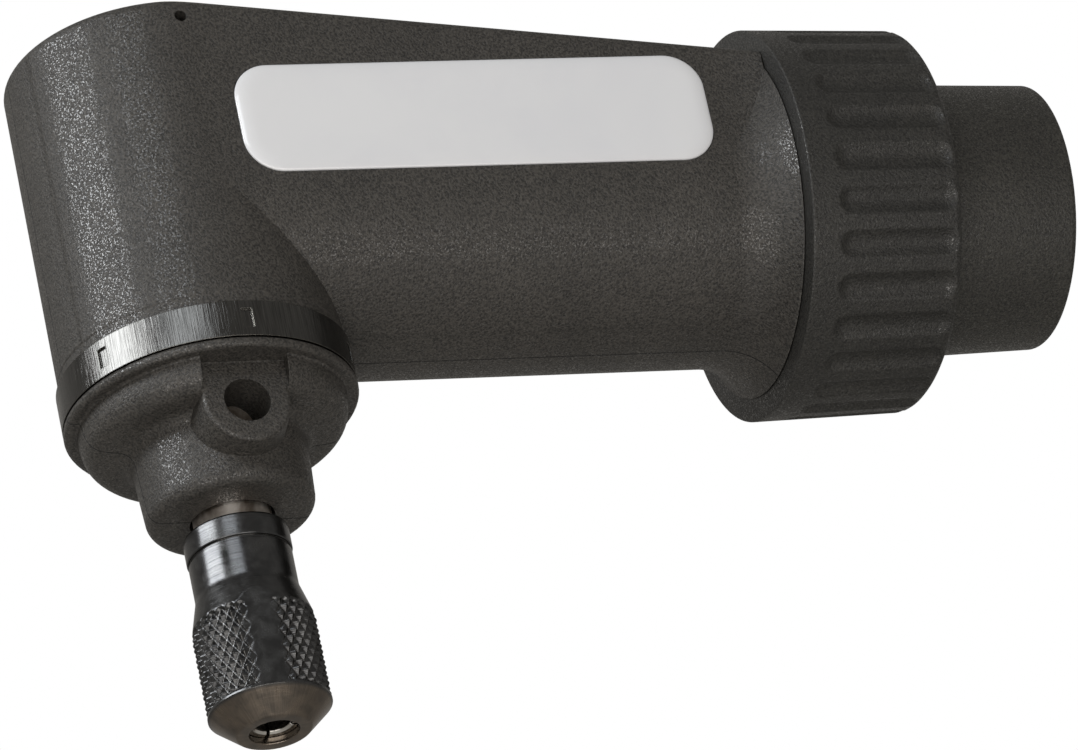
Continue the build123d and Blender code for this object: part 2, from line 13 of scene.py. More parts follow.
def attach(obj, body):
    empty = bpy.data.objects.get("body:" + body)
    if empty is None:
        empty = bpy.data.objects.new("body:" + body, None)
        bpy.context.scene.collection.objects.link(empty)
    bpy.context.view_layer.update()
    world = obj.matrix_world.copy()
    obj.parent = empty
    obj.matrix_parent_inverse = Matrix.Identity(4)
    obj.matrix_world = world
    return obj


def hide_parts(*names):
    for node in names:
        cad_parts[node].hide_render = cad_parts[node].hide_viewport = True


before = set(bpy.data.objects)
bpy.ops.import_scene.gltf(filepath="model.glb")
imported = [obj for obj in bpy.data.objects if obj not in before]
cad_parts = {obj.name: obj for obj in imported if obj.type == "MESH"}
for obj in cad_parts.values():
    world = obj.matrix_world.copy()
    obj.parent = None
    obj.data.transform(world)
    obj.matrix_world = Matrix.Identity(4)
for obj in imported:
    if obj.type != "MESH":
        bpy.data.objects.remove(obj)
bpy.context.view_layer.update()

MM = 0.001
OUTPUT_X = -81.5 * MM

# Low forms in the casing. The flat's depths are measured back from the output axis.
STEP_HEIGHT = 0.12 * MM
LIP_HEIGHT = -12.5 * MM
LIP_RISE = 0.35 * MM
FLAT_EDGE_INNER = 4.1 * MM
FLAT_EDGE_OUTER = 4.9 * MM
FLAT_DEPTH_NEAR = 11.2 * MM
FLAT_DEPTH_FAR = 11.9 * MM
FLARE_START = -32.75 * MM
FLARE_CURVE = 30.0

# Coupling ring
RING_START = -27.75 * MM
RING_END = -13.25 * MM
RING_RADIUS = 17.82 * MM
RING_TAPER = 0.37 * MM
RING_BORE = 16.05 * MM
RING_LIP_BORE = 15.3 * MM
RING_LIP = 2.0 * MM
RING_EDGE = 0.15 * MM
RING_FRONT_EDGE = 0.12 * MM
RING_BACK_EDGE = 0.7 * MM
RING_SKIN_RADIUS = RING_BORE + 1 * MM
RING_MESH_STEP = 0.17 * MM
FLUTES = 28
FLUTE_WIDTH = 2.55 * MM
FLUTE_DEPTH = 0.5 * MM
FLUTE_FROM = -25.15 * MM
FLUTE_TO = -13.6 * MM
FLUTE_TURN = radians(2.5)
FLUTE_RIM_BLEND = 0.12
FLUTED_OUTSIDE = RING_BORE + 0.5 * MM
FLUTE_SEGMENTS = 24

# Collet nut
NUT_BORE = 3.45 * MM
NUT_TOP = -29.65 * MM
NUT_COLLAR_RADIUS = 4.7 * MM
NUT_COLLAR_FOOT = -31.85 * MM
NUT_GROOVE_RADIUS = 4.45 * MM
NUT_GROOVE_FOOT = -32.15 * MM
NUT_WAIST_RADIUS = 4.6 * MM
NUT_WAIST_FOOT = -35.6 * MM
NUT_GRIP_RADIUS = 5.5 * MM
NUT_GRIP_TOP = -38.9 * MM
NUT_GRIP_FOOT = -46.7 * MM
NUT_END_RADIUS = 3.3 * MM
NUT_FOOT = -49.0 * MM
NUT_MOUTH_RADIUS = 2.2 * MM
NUT_WEDGE_RADIUS = 3.0 * MM
NUT_WEDGE_TOP = -45.75 * MM
NUT_SHELF = -44.45 * MM
NUT_FLAT_HALF = 5.05 * MM
NUT_FLAT_TURN = radians(9.4)
NUT_FLAT_FOOT = -46.9 * MM
NUT_EDGE = 0.12 * MM
NUT_WAIST_BLEND = 2 * MM
NUT_GRIP_BLEND = 1 * MM
NUT_END_EDGE = 0.35 * MM
NUT_END_STEP = 0.02 * MM
KNURL_STARTS = 34
KNURL_PITCH = 1.54 * MM
KNURL_DEPTH = 0.36 * MM
KNURL_MARGIN = 0.16 * MM
KNURL_CREST = 1.1
KNURL_SEGMENTS = 12
KNURL_MESH_STEP = 0.09 * MM

# Collet
COLLET_BORE = 1.6 * MM
COLLET_RADIUS = 2.35 * MM
COLLET_HEAD_RADIUS = 2.9 * MM
COLLET_NOSE_RADIUS = 2.34 * MM
COLLET_TOP = -34.8 * MM
COLLET_SLIT_TOP = -39.3 * MM
COLLET_SHOULDER = -44.35 * MM
COLLET_FOOT = -48.25 * MM
COLLET_JAWS = 4
COLLET_SLIT = 0.4 * MM
COLLET_CHAMFER = 0.2 * MM

# Badge
BADGE_CENTRE = (-56.05 * MM, 5.1 * MM)
BADGE_HALF = (22.0 * MM, 5.45 * MM)
BADGE_CORNER = 3.4 * MM
BADGE_FLOOR = -12.25 * MM
BADGE_WALL = 0.62 * MM
BADGE_DOME = 0.33 * MM
BADGE_SHOULDER = 1.6 * MM

# Thread in the sleeve's mouth
THREAD_RADIUS = 9.42 * MM
THREAD_DEPTH = 0.62 * MM
THREAD_PITCH = 2.117 * MM
THREAD_LENGTH = 9.2 * MM
THREAD_REACH = 1.04


# Node-building shorthand

def feed(tree, socket, value):
    """Link a node's input to another node's output, or set it to a constant."""
    if isinstance(value, bpy.types.NodeSocket):
        tree.links.new(value, socket)
    else:
        socket.default_value = value


def build(tree, kind, inputs=None, **settings):
    """Add a node, set its options, and feed its inputs by name or number."""
    made = tree.nodes.new(kind)
    for name, value in settings.items():
        setattr(made, name, value)
    for name, value in (inputs or {}).items():
        feed(tree, made.inputs[name], value)
    return made


def maths(tree, operation, *values):
    made = build(tree, "ShaderNodeMath", operation=operation)
    for socket, value in zip(made.inputs, values):
        feed(tree, socket, value)
    return made.outputs[0]


def vector_maths(tree, operation, *values):
    made = build(tree, "ShaderNodeVectorMath", operation=operation)
    for socket, value in zip(made.inputs, values):
        feed(tree, socket, value)
    return made.outputs["Value" if operation in ("DOT_PRODUCT", "LENGTH") else "Vector"]


def smooth_step(tree, value, low, high):
    """0 under low, 1 over high, and a smooth rise between."""
    made = build(tree, "ShaderNodeMapRange", {"Value": value, "From Min": low, "From Max": high},
                 interpolation_type="SMOOTHSTEP")
    return made.outputs["Result"]


def group_tree(name, kind, inputs, outputs):
    """A node group with named sockets, and the nodes that stand for its inputs and outputs."""
    tree = bpy.data.node_groups.new(name, kind)
    for label, socket_type, default in inputs:
        socket = tree.interface.new_socket(name=label, in_out="INPUT", socket_type=socket_type)
        if default is not None:
            socket.default_value = default
    for label, socket_type in outputs:
        tree.interface.new_socket(name=label, in_out="OUTPUT", socket_type=socket_type)
    return tree, tree.nodes.new("NodeGroupInput").outputs, tree.nodes.new("NodeGroupOutput").inputs


# Shader groups that several materials share, and the ranges that turn a pattern into a mask

GRAIN_TONE_RANGE = (0.46, 0.86)
GLINT_RANGE = (0.56, 0.68)
CLOUD_RANGE = (0.32, 0.68)
EDGE_RANGE = (0.995, 0.86)


def make_moulding_grain():
    """Fine spark-eroded grain of a moulded plastic: a height, and the share of tiny facets that glint."""
    tree, given, wanted = group_tree(
        "moulding_grain", "ShaderNodeTree",
        [("Vector", "NodeSocketVector", None), ("Grain size", "NodeSocketFloat", 0.2 * MM)],
        [("Height", "NodeSocketFloat"), ("Tone", "NodeSocketFloat"), ("Glint", "NodeSocketFloat")])
    scale = maths(tree, "DIVIDE", 1.0, given["Grain size"])
    coarse = build(tree, "ShaderNodeTexNoise",
                   {"Vector": given["Vector"], "Scale": scale, "Detail": 3.0, "Roughness": 0.65})
    pits = build(tree, "ShaderNodeTexVoronoi",
                 {"Vector": given["Vector"], "Scale": maths(tree, "MULTIPLY", scale, 0.8)})
    pit_depth = maths(tree, "MULTIPLY", pits.outputs["Distance"], 0.35)
    height = maths(tree, "ADD", coarse.outputs["Fac"], pit_depth)
    feed(tree, wanted["Height"], height)
    feed(tree, wanted["Tone"], smooth_step(tree, height, *GRAIN_TONE_RANGE))
    facet_scale = maths(tree, "MULTIPLY", scale, 1.3)
    facets = build(tree, "ShaderNodeTexNoise",
                   {"Vector": given["Vector"], "Scale": facet_scale, "Detail": 1.0})
    feed(tree, wanted["Glint"], smooth_step(tree, facets.outputs["Fac"], *GLINT_RANGE))
    return tree


def make_uneven_tone():
    """Slow change over a surface, from handling and from the flow of the moulding, from 0 to 1."""
    tree, given, wanted = group_tree(
        "uneven_tone", "ShaderNodeTree",
        [("Vector", "NodeSocketVector", None), ("Patch size", "NodeSocketFloat", 9 * MM)],
        [("Tone", "NodeSocketFloat")])
    scale = maths(tree, "DIVIDE", 1.0, given["Patch size"])
    cloud = build(tree, "ShaderNodeTexNoise", {
        "Vector": given["Vector"], "Scale": scale, "Detail": 4.0, "Roughness": 0.6, "Distortion": 0.4})
    feed(tree, wanted["Tone"], smooth_step(tree, cloud.outputs["Fac"], *CLOUD_RANGE))
    return tree


def make_soft_edges():
    """The rounding that every real edge has, as a normal, and a mask of the edges, which handling polishes
    and which some materials lighten as a painted highlight.
    """
    tree, given, wanted = group_tree(
        "soft_edges", "ShaderNodeTree",
        [("Radius", "NodeSocketFloat", 0.15 * MM)],
        [("Normal", "NodeSocketVector"), ("Edge", "NodeSocketFloat")])
    rounded = build(tree, "ShaderNodeBevel", {"Radius": given["Radius"]}, samples=4)
    face = build(tree, "ShaderNodeNewGeometry")
    feed(tree, wanted["Normal"], rounded.outputs["Normal"])
    agreement = vector_maths(tree, "DOT_PRODUCT", rounded.outputs["Normal"], face.outputs["Normal"])
    feed(tree, wanted["Edge"], smooth_step(tree, agreement, *EDGE_RANGE))
    return tree


def make_turned_rings():
    """Fine rings left by a lathe, from the distance along the turned axis."""
    tree, given, wanted = group_tree(
        "turned_rings", "ShaderNodeTree",
        [("Along", "NodeSocketFloat", 0.0), ("Spacing", "NodeSocketFloat", 0.08 * MM)],
        [("Height", "NodeSocketFloat")])
    rings = build(tree, "ShaderNodeTexNoise",
                  {"W": maths(tree, "DIVIDE", given["Along"], given["Spacing"]), "Scale": 1.0, "Detail": 2.0},
                  noise_dimensions="1D")
    feed(tree, wanted["Height"], rings.outputs["Fac"])
    return tree


def make_round_strokes():
    """Fine strokes across a turned band, from the angle round its axis."""
    tree, given, wanted = group_tree(
        "round_strokes", "ShaderNodeTree",
        [("Vector", "NodeSocketVector", None), ("Strokes", "NodeSocketFloat", 700.0)],
        [("Height", "NodeSocketFloat")])
    place = build(tree, "ShaderNodeSeparateXYZ", {"Vector": given["Vector"]})
    angle = maths(tree, "ARCTAN2", place.outputs["Y"], maths(tree, "SUBTRACT", place.outputs["X"], OUTPUT_X))
    across = build(tree, "ShaderNodeCombineXYZ", {
        "X": maths(tree, "MULTIPLY", angle, maths(tree, "DIVIDE", given["Strokes"], 2 * pi)),
        "Y": maths(tree, "MULTIPLY", place.outputs["Z"], 250.0)})
    strokes = build(tree, "ShaderNodeTexNoise",
                    {"Vector": across.outputs["Vector"], "Scale": 1.0, "Detail": 2.0}, noise_dimensions="2D")
    feed(tree, wanted["Height"], strokes.outputs["Fac"])
    return tree


def make_parting_line():
    """The closed joint between the two casing halves, in the plane y = 0."""
    tree, given, wanted = group_tree(
        "parting_line", "ShaderNodeTree",
        [("Vector", "NodeSocketVector", None), ("Width", "NodeSocketFloat", 0.12 * MM)],
        [("Line", "NodeSocketFloat")])
    place = build(tree, "ShaderNodeSeparateXYZ", {"Vector": given["Vector"]})
    aside = maths(tree, "ABSOLUTE", place.outputs["Y"])
    core = maths(tree, "MULTIPLY", given["Width"], 0.3)
    feed(tree, wanted["Line"], smooth_step(tree, aside, given["Width"], core))
    return tree


def make_moulded_steps():
    """Forms too low for the casing's solids: a lip above the band, a flat down the back, a fuller flare."""
    tree, given, wanted = group_tree(
        "moulded_steps", "ShaderNodeTree",
        [("Vector", "NodeSocketVector", None)],
        [("Height", "NodeSocketFloat")])
    place = build(tree, "ShaderNodeSeparateXYZ", {"Vector": given["Vector"]})
    lip = smooth_step(tree, place.outputs["Z"], LIP_HEIGHT, LIP_HEIGHT + LIP_RISE)
    aside = maths(tree, "ABSOLUTE", place.outputs["Y"])
    beside_flat = smooth_step(tree, aside, FLAT_EDGE_INNER, FLAT_EDGE_OUTER)
    on_back = smooth_step(tree, place.outputs["X"], OUTPUT_X - FLAT_DEPTH_NEAR, OUTPUT_X - FLAT_DEPTH_FAR)
    flat = maths(tree, "MULTIPLY", maths(tree, "SUBTRACT", beside_flat, 1.0), on_back)
    past = maths(tree, "MAXIMUM", maths(tree, "SUBTRACT", place.outputs["X"], FLARE_START), 0.0)
    flare = maths(tree, "MULTIPLY", maths(tree, "MULTIPLY", past, past), FLARE_CURVE / STEP_HEIGHT)
    feed(tree, wanted["Height"], maths(tree, "ADD", maths(tree, "ADD", lip, flat), flare))
    return tree


moulding_grain = make_moulding_grain()
uneven_tone = make_uneven_tone()
soft_edges = make_soft_edges()
turned_rings = make_turned_rings()
round_strokes = make_round_strokes()
parting_line = make_parting_line()
moulded_steps = make_moulded_steps()


# Materials

GRAIN_SIZE = 0.2 * MM
GRAIN_TONES = (0.3, 1.7)
GRAIN_ROUGHNESS = (0.52, 0.36)
EDGE_WEAR_AND_HIGHLIGHT = (0.07, 0.066, 0.06)
JOINT_SHADOW = (0.003, 0.003, 0.003)
POLISHED_EDGE = (0.7, 0.68, 0.64)
LATHE_RING_HEIGHT = 0.006 * MM


def begin_material(name, roughness, metallic=0.0, colour=None):
    """A material with its Principled shader, and the Object coordinates that its patterns read."""
    material = bpy.data.materials.new(name)
    material.use_nodes = True
    tree = material.node_tree
    shader = next(each for each in tree.nodes if each.type == "BSDF_PRINCIPLED")
    shader.inputs["Roughness"].default_value = roughness
    shader.inputs["Metallic"].default_value = metallic
    if colour:
        shader.inputs["Base Color"].default_value = (*colour, 1)
    place = tree.nodes.new("ShaderNodeTexCoord").outputs["Object"]
    return material, tree, shader, place


def use_group(tree, group, **inputs):
    made = build(tree, "ShaderNodeGroup", node_tree=group)
    for name, value in inputs.items():
        feed(tree, made.inputs[name.replace("_", " ")], value)
    return made.outputs


def blend_colours(tree, share, first, second):
    made = build(tree, "ShaderNodeMix", data_type="RGBA")
    feed(tree, made.inputs["Factor"], share)
    feed(tree, made.inputs["A"], first if isinstance(first, bpy.types.NodeSocket) else (*first, 1))
    feed(tree, made.inputs["B"], second if isinstance(second, bpy.types.NodeSocket) else (*second, 1))
    return next(each for each in made.outputs if each.type == "RGBA")


def scaled_colour(tree, colour, factor):
    made = build(tree, "ShaderNodeMix", data_type="RGBA", blend_type="MULTIPLY")
    feed(tree, made.inputs["Factor"], 1.0)
    sockets = [each for each in made.inputs if each.type == "RGBA"]
    feed(tree, sockets[0], colour)
    feed(tree, sockets[1], factor)
    return next(each for each in made.outputs if each.type == "RGBA")


def between(tree, share, low, high):
    """low at share 0 and high at share 1."""
    made = build(tree, "ShaderNodeMapRange", {"Value": share, "To Min": low, "To Max": high})
    return made.outputs["Result"]


def bump(tree, height, distance, normal=None):
    made = build(tree, "ShaderNodeBump", {"Height": height, "Distance": distance, "Strength": 1.0})
    if normal is not None:
        feed(tree, made.inputs["Normal"], normal)
    return made.outputs["Normal"]


def moulded_black(name, dark, light, grain_height, is_casing):
    """Black moulded plastic with a fine satin grain, whose tiny facets glint."""
    material, tree, shader, place = begin_material(name, 0.5)
    tone = use_group(tree, uneven_tone, Vector=place, Patch_size=11 * MM)["Tone"]
    grain = use_group(tree, moulding_grain, Vector=place, Grain_size=GRAIN_SIZE)
    edges = use_group(tree, soft_edges, Radius=0.16 * MM)
    # Edges lightened towards a pale grey: partly wear, partly a painted highlight along the edges that catch
    # the light.
    edge_wear_and_highlight = maths(tree, "MULTIPLY", edges["Edge"], 0.4)
    colour = blend_colours(tree, tone, dark, light)
    colour = blend_colours(tree, edge_wear_and_highlight, colour, EDGE_WEAR_AND_HIGHLIGHT)
    colour = scaled_colour(tree, colour, between(tree, grain["Tone"], *GRAIN_TONES))
    roughness = between(tree, grain["Glint"], *GRAIN_ROUGHNESS)
    normal = edges["Normal"]
    if is_casing:
        line = use_group(tree, parting_line, Vector=place)["Line"]
        colour = blend_colours(tree, line, colour, JOINT_SHADOW)
        roughness = between(tree, line, roughness, 0.9)
        steps = use_group(tree, moulded_steps, Vector=place)["Height"]
        normal = bump(tree, steps, STEP_HEIGHT, normal)
    feed(tree, shader.inputs["Base Color"], colour)
    feed(tree, shader.inputs["Roughness"], roughness)
    feed(tree, shader.inputs["Coat Weight"], grain["Glint"])
    shader.inputs["Coat Roughness"].default_value = 0.2
    feed(tree, shader.inputs["Normal"], bump(tree, grain["Height"], grain_height, normal))
    return material


def badge_resin():
    """A white plate under clear domed resin."""
    material, tree, shader, place = begin_material("badge_resin", 0.35, colour=(0.7, 0.71, 0.74))
    tone = use_group(tree, uneven_tone, Vector=place, Patch_size=16 * MM)["Tone"]
    feed(tree, shader.inputs["Base Color"], blend_colours(tree, tone, (0.69, 0.7, 0.73), (0.72, 0.73, 0.75)))
    feed(tree, shader.inputs["Roughness"], between(tree, tone, 0.3, 0.38))
    feed(tree, shader.inputs["Normal"], bump(tree, tone, 0.02 * MM))
    shader.inputs["Coat Weight"].default_value = 1.0
    shader.inputs["Coat Roughness"].default_value = 0.04
    return material


def band_gunmetal():
    """Dark polished band with fine upright strokes."""
    material, tree, shader, place = begin_material("band_gunmetal", 0.25, metallic=1.0)
    strokes = use_group(tree, round_strokes, Vector=place, Strokes=760.0)["Height"]
    tone = use_group(tree, uneven_tone, Vector=place, Patch_size=5 * MM)["Tone"]
    edges = use_group(tree, soft_edges, Radius=0.1 * MM)
    colour = blend_colours(tree, strokes, (0.025, 0.025, 0.024), (0.15, 0.148, 0.142))
    colour = blend_colours(tree, edges["Edge"], colour, (0.2, 0.19, 0.17))
    feed(tree, shader.inputs["Base Color"], colour)
    feed(tree, shader.inputs["Roughness"], between(tree, tone, 0.17, 0.27))
    feed(tree, shader.inputs["Normal"], bump(tree, strokes, 0.02 * MM, edges["Normal"]))
    return material


def turned_steel(name, dark, light, roughness, along="Z"):
    """Steel turned on a lathe, with rings across the named axis."""
    material, tree, shader, place = begin_material(name, roughness, metallic=1.0)
    parts = build(tree, "ShaderNodeSeparateXYZ", {"Vector": place})
    rings = use_group(tree, turned_rings, Along=parts.outputs[along], Spacing=0.09 * MM)["Height"]
    tone = use_group(tree, uneven_tone, Vector=place, Patch_size=2.5 * MM)["Tone"]
    edges = use_group(tree, soft_edges, Radius=0.1 * MM)
    polished = maths(tree, "MULTIPLY", edges["Edge"], 0.5)
    colour = blend_colours(tree, tone, dark, light)
    colour = blend_colours(tree, polished, colour, POLISHED_EDGE)
    feed(tree, shader.inputs["Base Color"], colour)
    feed(tree, shader.inputs["Roughness"], between(tree, tone, roughness * 0.8, roughness * 1.3))
    feed(tree, shader.inputs["Normal"], bump(tree, rings, LATHE_RING_HEIGHT, edges["Normal"]))
    return material


def black_oxide():
    """Blackened steel of the collet nut. Its edges and the knurl's points are lighter, from wear and as a
    painted highlight; its turned end carries a painted brown reflection.
    """
    material, tree, shader, place = begin_material("black_oxide", 0.3, metallic=1.0)
    parts = build(tree, "ShaderNodeSeparateXYZ", {"Vector": place})
    rings = use_group(tree, turned_rings, Along=parts.outputs["Z"], Spacing=0.11 * MM)["Height"]
    tone = use_group(tree, uneven_tone, Vector=place, Patch_size=1.6 * MM)["Tone"]
    edges = use_group(tree, soft_edges, Radius=0.07 * MM)
    colour = blend_colours(tree, tone, (0.065, 0.066, 0.068), (0.1, 0.101, 0.102))
    strokes = use_group(tree, round_strokes, Vector=place, Strokes=420.0)["Height"]
    # The turned end below the flats is painted in brown tones that stand in for a reflection of the brownish
    # surround: a painted reflection over real turning strokes.
    turned_end_reflection = blend_colours(tree, strokes, (0.1, 0.078, 0.06), (0.34, 0.29, 0.24))
    at_end = smooth_step(tree, parts.outputs["Z"], NUT_FLAT_FOOT, NUT_FLAT_FOOT - 0.3 * MM)
    turned_end_reflection_share = maths(tree, "MULTIPLY", at_end, between(tree, tone, 0.55, 1.0))
    colour = blend_colours(tree, turned_end_reflection_share, colour, turned_end_reflection)
    # Edges and knurl points lightened: partly wear, partly a painted highlight.
    polished = maths(tree, "MULTIPLY", edges["Edge"], 0.6)
    colour = blend_colours(tree, polished, colour, (0.22, 0.205, 0.185))
    feed(tree, shader.inputs["Base Color"], colour)
    feed(tree, shader.inputs["Roughness"], between(tree, tone, 0.17, 0.28))
    feed(tree, shader.inputs["Normal"], bump(tree, rings, 0.012 * MM, edges["Normal"]))
    return material


casing_black = moulded_black("casing_black", (0.027, 0.0247, 0.0215), (0.034, 0.031, 0.027), 0.1 * MM, True)
ring_black = moulded_black("ring_black", (0.012, 0.0115, 0.01), (0.016, 0.0153, 0.0132), 0.09 * MM, False)
sleeve_black = moulded_black("sleeve_black", (0.016, 0.0152, 0.0125), (0.021, 0.02, 0.0165), 0.08 * MM, False)
ground_steel = turned_steel("ground_steel", (0.42, 0.38, 0.34), (0.58, 0.54, 0.48), 0.24)
# The spindle's steel is much lighter than the other steel: painted light, making up for the light that the
# nose's bulb keeps off the spindle.
spindle_steel = turned_steel("spindle_steel", (0.42, 0.35, 0.29), (0.95, 0.9, 0.85), 0.36)
shaft_steel = turned_steel("shaft_steel", (0.42, 0.4, 0.37), (0.56, 0.54, 0.5), 0.26, along="X")
gear_steel = turned_steel("gear_steel", (0.3, 0.3, 0.3), (0.42, 0.42, 0.41), 0.34)
blackened_steel = turned_steel("blackened_steel", (0.05, 0.05, 0.05), (0.09, 0.088, 0.085), 0.36)
collet_steel = turned_steel("collet_steel", (0.6, 0.58, 0.54), (0.75, 0.73, 0.7), 0.18)
cage_brass = turned_steel("cage_brass", (0.55, 0.38, 0.15), (0.7, 0.5, 0.22), 0.3)

FINISHES = {
    "threaded_sleeve": sleeve_black,
    "housing_front": casing_black,
    "housing_rear": casing_black,
    "casing_screws": blackened_steel,
    "nose_band": band_gunmetal(),
    "drive_shaft": shaft_steel,
    "drive_gear": gear_steel,
    "drive_shaft_clip": blackened_steel,
    "spindle": spindle_steel,
    "spindle_gear": gear_steel,
    "spindle_spacer": ground_steel,
    "spindle_clip": blackened_steel,
}
for bearing in ("head", "tail", "lower", "upper"):
    for race in ("outer_race", "inner_race", "balls"):
        FINISHES[f"{bearing}_bearing_{race}"] = ground_steel
    FINISHES[f"{bearing}_bearing_cage"] = cage_brass


def finish_surface(piece, material):
    """Give a piece its one material."""
    piece.data.materials.clear()
    piece.data.materials.append(material)


for node_name, finish_material in FINISHES.items():
    finish_surface(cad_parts[node_name], finish_material)


# New pieces

def add_piece(name, points, faces):
    """A mesh object at the origin, with its place in its mesh."""
    mesh = bpy.data.meshes.new(name)
    mesh.from_pydata(points, [], faces)
    mesh.validate()
    piece = bpy.data.objects.new(name, mesh)
    bpy.context.scene.collection.objects.link(piece)
    return piece


def smooth_faces(piece, sharp_angle):
    """Turn every face of a closed mesh outward, and shade it smooth but for its sharp edges."""
    shell = bmesh.new()
    shell.from_mesh(piece.data)
    bmesh.ops.recalc_face_normals(shell, faces=shell.faces)
    shell.to_mesh(piece.data)
    shell.free()
    piece.data.shade_smooth()
    piece.data.set_sharp_from_angle(angle=radians(sharp_angle))


def grow(piece, tree, **sizes):
    """Run a geometry tree on a piece with the given sizes, and keep the result as its plain mesh."""
    modifier = piece.modifiers.new(tree.name, "NODES")
    modifier.node_group = tree
    for item in tree.interface.items_tree:
        if item.in_out == "INPUT" and item.name.replace(" ", "_") in sizes:
            modifier[item.identifier] = sizes[item.name.replace(" ", "_")]
    seen = piece.evaluated_get(bpy.context.evaluated_depsgraph_get())
    made = bpy.data.meshes.new_from_object(seen)
    made.name = piece.name
    piece.modifiers.remove(modifier)
    piece.data = made


def join_into(piece, other):
    """Add another piece's mesh to a piece."""
    points = [vertex.co[:] for source in (piece, other) for vertex in source.data.vertices]
    shift = len(piece.data.vertices)
    faces = [face.vertices[:] for face in piece.data.polygons]
    faces += [tuple(index + shift for index in face.vertices) for face in other.data.polygons]
    piece.data.clear_geometry()
    piece.data.from_pydata(points, [], faces)
    bpy.data.objects.remove(other)


def rounded_path(corners, steps=5):
    """A line through corners given as (radius, height, rounding), with an arc at each rounded corner."""
    path = []
    for index, (r, z, rounding) in enumerate(corners):
        here = Vector((r, z))
        if not rounding:
            path.append(here)
            continue
        before = (Vector(corners[index - 1][:2]) - here).normalized()
        after = (Vector(corners[(index + 1) % len(corners)][:2]) - here).normalized()
        half = acos(max(-1.0, min(1.0, before.dot(after)))) / 2
        reach = rounding / tan(half)
        for step in range(steps + 1):
            share = step / steps
            start, end = here + before * reach, here + after * reach
            middle = here + (before + after).normalized() * (rounding / sin(half))
            arm = start.lerp(end, share) - middle
            path.append(middle + arm.normalized() * rounding)
    return path


def divided(path, longest, is_fine):
    """Points added on a closed path so that no step between two points that pass is_fine is over longest."""
    result = []
    for index, point in enumerate(path):
        following = path[(index + 1) % len(path)]
        result.append(point)
        if is_fine(point) and is_fine(following):
            count = int((following - point).length / longest)
            result += [point.lerp(following, step / (count + 1)) for step in range(1, count + 1)]
    return result


def turned_piece(name, path, segments, axis="output"):
    """A closed path of (radius, place along the axis) turned round the output axis or the input axis."""
    points, faces = [], []
    for segment in range(segments):
        angle = 2 * pi * segment / segments
        if axis == "output":
            points += [(OUTPUT_X + p.x * cos(angle), p.x * sin(angle), p.y) for p in path]
        else:
            points += [(p.y, p.x * cos(angle), p.x * sin(angle)) for p in path]
    count = len(path)
    for segment in range(segments):
        here, there = segment * count, (segment + 1) % segments * count
        for index in range(count):
            following = (index + 1) % count
            faces.append((here + index, here + following, there + following, there + index))
    return add_piece(name, points, faces)


def vertex_parts(tree):
    """The x, y and z of each vertex that a geometry tree works on."""
    position = tree.nodes.new("GeometryNodeInputPosition").outputs[0]
    return build(tree, "ShaderNodeSeparateXYZ", {"Vector": position}).outputs


def moved_along(tree, geometry, direction, distance):
    """Every vertex moved by its own distance along its own direction."""
    offset = build(tree, "ShaderNodeVectorMath", {0: direction, "Scale": distance}, operation="SCALE")
    moved = build(tree, "GeometryNodeSetPosition", {"Geometry": geometry, "Offset": offset.outputs["Vector"]})
    return moved.outputs["Geometry"]


def finish_geometry(tree, geometry, given, wanted):
    """End a geometry tree: real instances, in the material that the tree is given."""
    realized = build(tree, "GeometryNodeRealizeInstances", {"Geometry": geometry})
    coated = build(tree, "GeometryNodeSetMaterial",
                   {"Geometry": realized.outputs["Geometry"], "Material": given["Material"]})
    feed(tree, wanted["Geometry"], coated.outputs["Geometry"])


